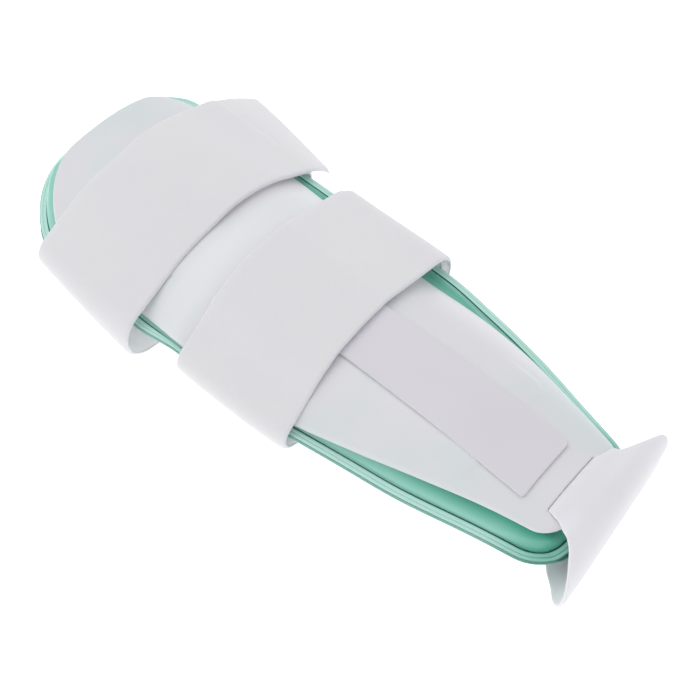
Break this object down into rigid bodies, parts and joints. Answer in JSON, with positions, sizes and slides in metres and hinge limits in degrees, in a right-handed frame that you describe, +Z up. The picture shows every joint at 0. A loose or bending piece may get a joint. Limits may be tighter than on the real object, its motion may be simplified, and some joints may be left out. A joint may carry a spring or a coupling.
{
  "type": "stirrup ankle brace",
  "caption": "White moulded stirrup ankle brace strapped closed over mint green air cells, lying flat, with a heel pad at its end.",
  "frame": {"origin": "middle of the brace's bounding box, on the surface that its straps lie on", "axes": "+X along the brace from its calf end to its heel end, +Z up from the surface through both shells, +Y across, towards the free end of the calf strap"},
  "size_m": [0.2674, 0.1286, 0.0477],
  "materials": {
    "shell": "satin",
    "cell": "satin",
    "strap": "matte",
    "strip": "matte"
  },
  "bodies": {
    "root": {"shell_upper": "shell", "shell_lower": "shell", "air_cell_upper": "cell", "air_cell_lower": "cell", "hook_strip_upper": "strip", "hook_strip_lower": "strip", "calf_strap": "strap", "ankle_strap": "strap", "heel_strap": "strap"}
  },
  "joints": []
}
